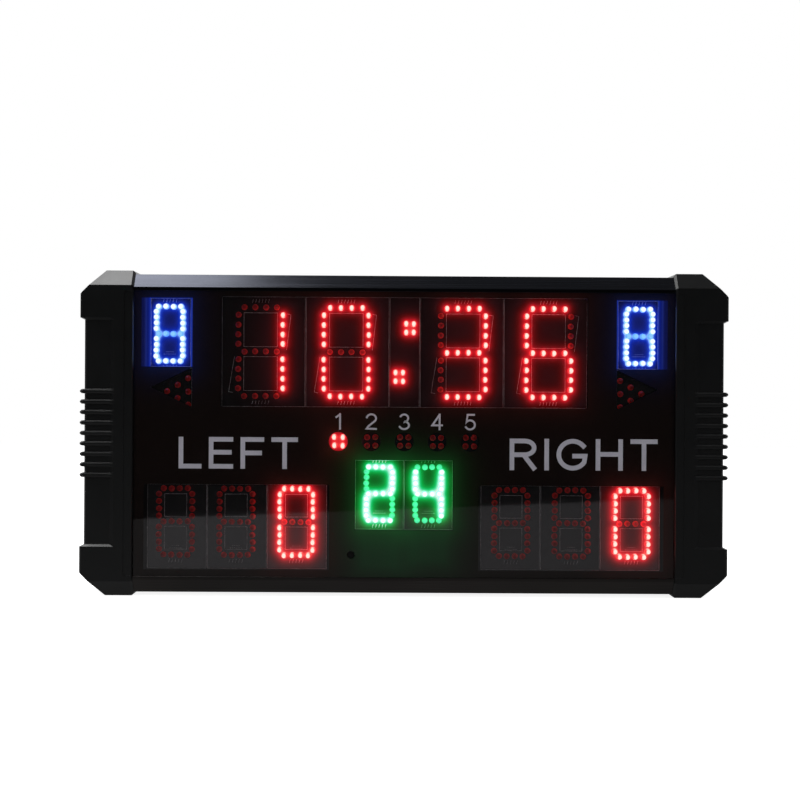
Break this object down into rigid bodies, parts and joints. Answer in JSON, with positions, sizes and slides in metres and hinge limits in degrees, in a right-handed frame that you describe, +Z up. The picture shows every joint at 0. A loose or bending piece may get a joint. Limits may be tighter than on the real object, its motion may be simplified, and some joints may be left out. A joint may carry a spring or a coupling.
{
  "type": "electronic scoreboard",
  "caption": "Table or wall scoreboard: LED clock, score, foul, period and shot digits behind a smoked panel, in a frame of two rails between moulded end caps.",
  "frame": {"origin": "middle of the footprint, on the surface that the end caps stand on", "axes": "+X to a spectator's right, -Y out of the display, +Z up"},
  "size_m": [0.645, 0.09, 0.325],
  "materials": {
    "abs_black": "fine moulded texture",
    "anodised_black": "black anodised, satin",
    "smoked_acrylic": "polished, see-through grey",
    "tray_plastic": "matt",
    "painted_sheet": "powder coat",
    "red_led_module": "lamps on a dark board",
    "blue_led_module": "lamps on a dark board",
    "green_led_module": "lamps on a dark board",
    "circuit_board": "solder resist",
    "black_nylon": "satin",
    "zinc_steel": "bright zinc plate",
    "black_steel": "black zinc plate",
    "lead_jacket": "satin",
    "ribbon_jacket": "satin"
  },
  "bodies": {
    "case": {"end_cap_left": "abs_black", "end_cap_right": "abs_black", "top_rail": "anodised_black", "bottom_rail": "anodised_black", "front_panel": "smoked_acrylic", "module_tray": "tray_plastic", "back_panel": "painted_sheet", "time_digit_1": "red_led_module", "time_digit_2": "red_led_module", "time_digit_3": "red_led_module", "time_digit_4": "red_led_module", "time_colon": "red_led_module", "period_strip": "red_led_module", "left_score_digit_1": "red_led_module", "left_score_digit_2": "red_led_module", "left_score_digit_3": "red_led_module", "right_score_digit_1": "red_led_module", "right_score_digit_2": "red_led_module", "right_score_digit_3": "red_led_module", "left_possession_arrow": "red_led_module", "right_possession_arrow": "red_led_module", "left_foul_digit": "blue_led_module", "right_foul_digit": "blue_led_module", "shot_clock_digit_1": "green_led_module", "shot_clock_digit_2": "green_led_module", "infrared_receiver": "circuit_board", "control_board": "circuit_board", "horn": "black_nylon", "dc_inlet": "black_nylon", "switch_body": "black_nylon", "dc_inlet_nut": "zinc_steel", "control_board_screw_1": "zinc_steel", "control_board_screw_2": "zinc_steel", "control_board_screw_3": "zinc_steel", "control_board_screw_4": "zinc_steel", "left_hanger_screw": "zinc_steel", "left_hanger_nut": "zinc_steel", "right_hanger_screw": "zinc_steel", "right_hanger_nut": "zinc_steel", "left_cap_screw_1": "black_steel", "left_cap_screw_2": "black_steel", "left_cap_screw_3": "black_steel", "left_cap_screw_4": "black_steel", "right_cap_screw_1": "black_steel", "right_cap_screw_2": "black_steel", "right_cap_screw_3": "black_steel", "right_cap_screw_4": "black_steel", "inlet_lead": "lead_jacket", "switch_lead": "lead_jacket", "horn_lead": "lead_jacket", "infrared_lead": "lead_jacket", "time_ribbon": "ribbon_jacket", "left_score_ribbon": "ribbon_jacket", "right_score_ribbon": "ribbon_jacket"},
    "left_bracket": {"left_hanger_bracket": "zinc_steel"},
    "right_bracket": {"right_hanger_bracket": "zinc_steel"},
    "rocker": {"switch_rocker": "black_nylon"}
  },
  "joints": [
    {"name": "left_bracket_swing", "type": "hinge", "parent": "case", "child": "left_bracket", "pos_m": [-0.19, 0.0403, 0.3125], "axis": [0, 1, 0], "range_deg": [-180, 180]},
    {"name": "right_bracket_swing", "type": "hinge", "parent": "case", "child": "right_bracket", "pos_m": [0.19, 0.0403, 0.3125], "axis": [0, -1, 0], "range_deg": [-180, 180]},
    {"name": "power_rocker_tilt", "type": "hinge", "parent": "case", "child": "rocker", "pos_m": [-0.19, 0.0358, 0.07], "axis": [1, 0, 0], "range_deg": [-20, 0]}
  ]
}
